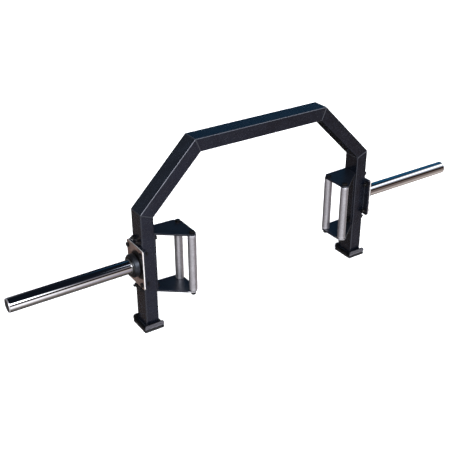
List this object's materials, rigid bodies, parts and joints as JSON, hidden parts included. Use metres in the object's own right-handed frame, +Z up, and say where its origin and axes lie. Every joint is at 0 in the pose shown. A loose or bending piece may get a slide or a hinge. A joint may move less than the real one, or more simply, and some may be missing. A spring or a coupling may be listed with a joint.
{
  "type": "open-ended trap bar",
  "caption": "Gate-shaped trap bar that a lifter stands under, with vertical grips bolted inside its uprights and turning sleeves for weight plates outside them.",
  "frame": {"origin": "on the floor, midway between the two feet, centred on the object's box from front to back", "axes": "+X along the sleeves towards the right end, +Y from the lifter's front to back, towards the side away from the front grips, +Z up"},
  "size_m": [1.935, 0.1694, 0.686],
  "materials": {
    "black_powder_coat": "satin black powder coat with a faint blue cast",
    "bare_steel": "bare machined steel, satin",
    "shoe_grey": "grey coated steel, worn along its edges",
    "collar_grey": "dark turned steel, satin",
    "chrome": "bright chrome",
    "grip_steel": "satin knurled steel",
    "black_oxide": "black oxide",
    "bronze": "sintered bronze",
    "rubber": "matt black rubber"
  },
  "bodies": {
    "frame": {"top_beam": "black_powder_coat", "left_upright": "black_powder_coat", "left_diagonal": "black_powder_coat", "left_mounting_plate": "black_powder_coat", "left_handle_top_plate": "black_powder_coat", "left_handle_bottom_plate": "black_powder_coat", "left_handle_back_plate": "black_powder_coat", "left_foot_shoe": "shoe_grey", "left_foot_pad": "rubber", "left_sleeve_plate": "bare_steel", "left_spindle": "bare_steel", "left_thrust_washer": "bronze", "left_rear_grip": "grip_steel", "left_front_grip": "grip_steel", "left_lock_nut": "black_oxide", "left_rear_grip_bolt": "black_oxide", "left_front_grip_bolt": "black_oxide", "left_flange_bolt_front_lower": "black_oxide", "left_flange_bolt_front_upper": "black_oxide", "left_flange_bolt_back_lower": "black_oxide", "left_flange_bolt_back_upper": "black_oxide", "left_bracket_bolt_front_lower": "black_oxide", "left_bracket_bolt_front_upper": "black_oxide", "left_bracket_bolt_back_lower": "black_oxide", "left_bracket_bolt_back_upper": "black_oxide", "right_upright": "black_powder_coat", "right_diagonal": "black_powder_coat", "right_mounting_plate": "black_powder_coat", "right_handle_top_plate": "black_powder_coat", "right_handle_bottom_plate": "black_powder_coat", "right_handle_back_plate": "black_powder_coat", "right_foot_shoe": "shoe_grey", "right_foot_pad": "rubber", "right_sleeve_plate": "bare_steel", "right_spindle": "bare_steel", "right_thrust_washer": "bronze", "right_rear_grip": "grip_steel", "right_front_grip": "grip_steel", "right_lock_nut": "black_oxide", "right_rear_grip_bolt": "black_oxide", "right_front_grip_bolt": "black_oxide", "right_flange_bolt_front_lower": "black_oxide", "right_flange_bolt_front_upper": "black_oxide", "right_flange_bolt_back_lower": "black_oxide", "right_flange_bolt_back_upper": "black_oxide", "right_bracket_bolt_front_lower": "black_oxide", "right_bracket_bolt_front_upper": "black_oxide", "right_bracket_bolt_back_lower": "black_oxide", "right_bracket_bolt_back_upper": "black_oxide"},
    "sleeve_left": {"left_sleeve_tube": "chrome", "left_shoulder_collar": "collar_grey", "left_inner_bushing": "bronze", "left_outer_bushing": "bronze", "left_end_cap": "collar_grey"},
    "sleeve_right": {"right_sleeve_tube": "chrome", "right_shoulder_collar": "collar_grey", "right_inner_bushing": "bronze", "right_outer_bushing": "bronze", "right_end_cap": "collar_grey"}
  },
  "joints": [
    {"name": "left_sleeve_spin", "type": "hinge", "parent": "frame", "child": "sleeve_left", "pos_m": [-0.5127, 0.02619, 0.2635], "axis": [1, 0, 0], "continuous": true},
    {"name": "right_sleeve_spin", "type": "hinge", "parent": "frame", "child": "sleeve_right", "pos_m": [0.5127, 0.02619, 0.2635], "axis": [1, 0, 0], "continuous": true}
  ]
}
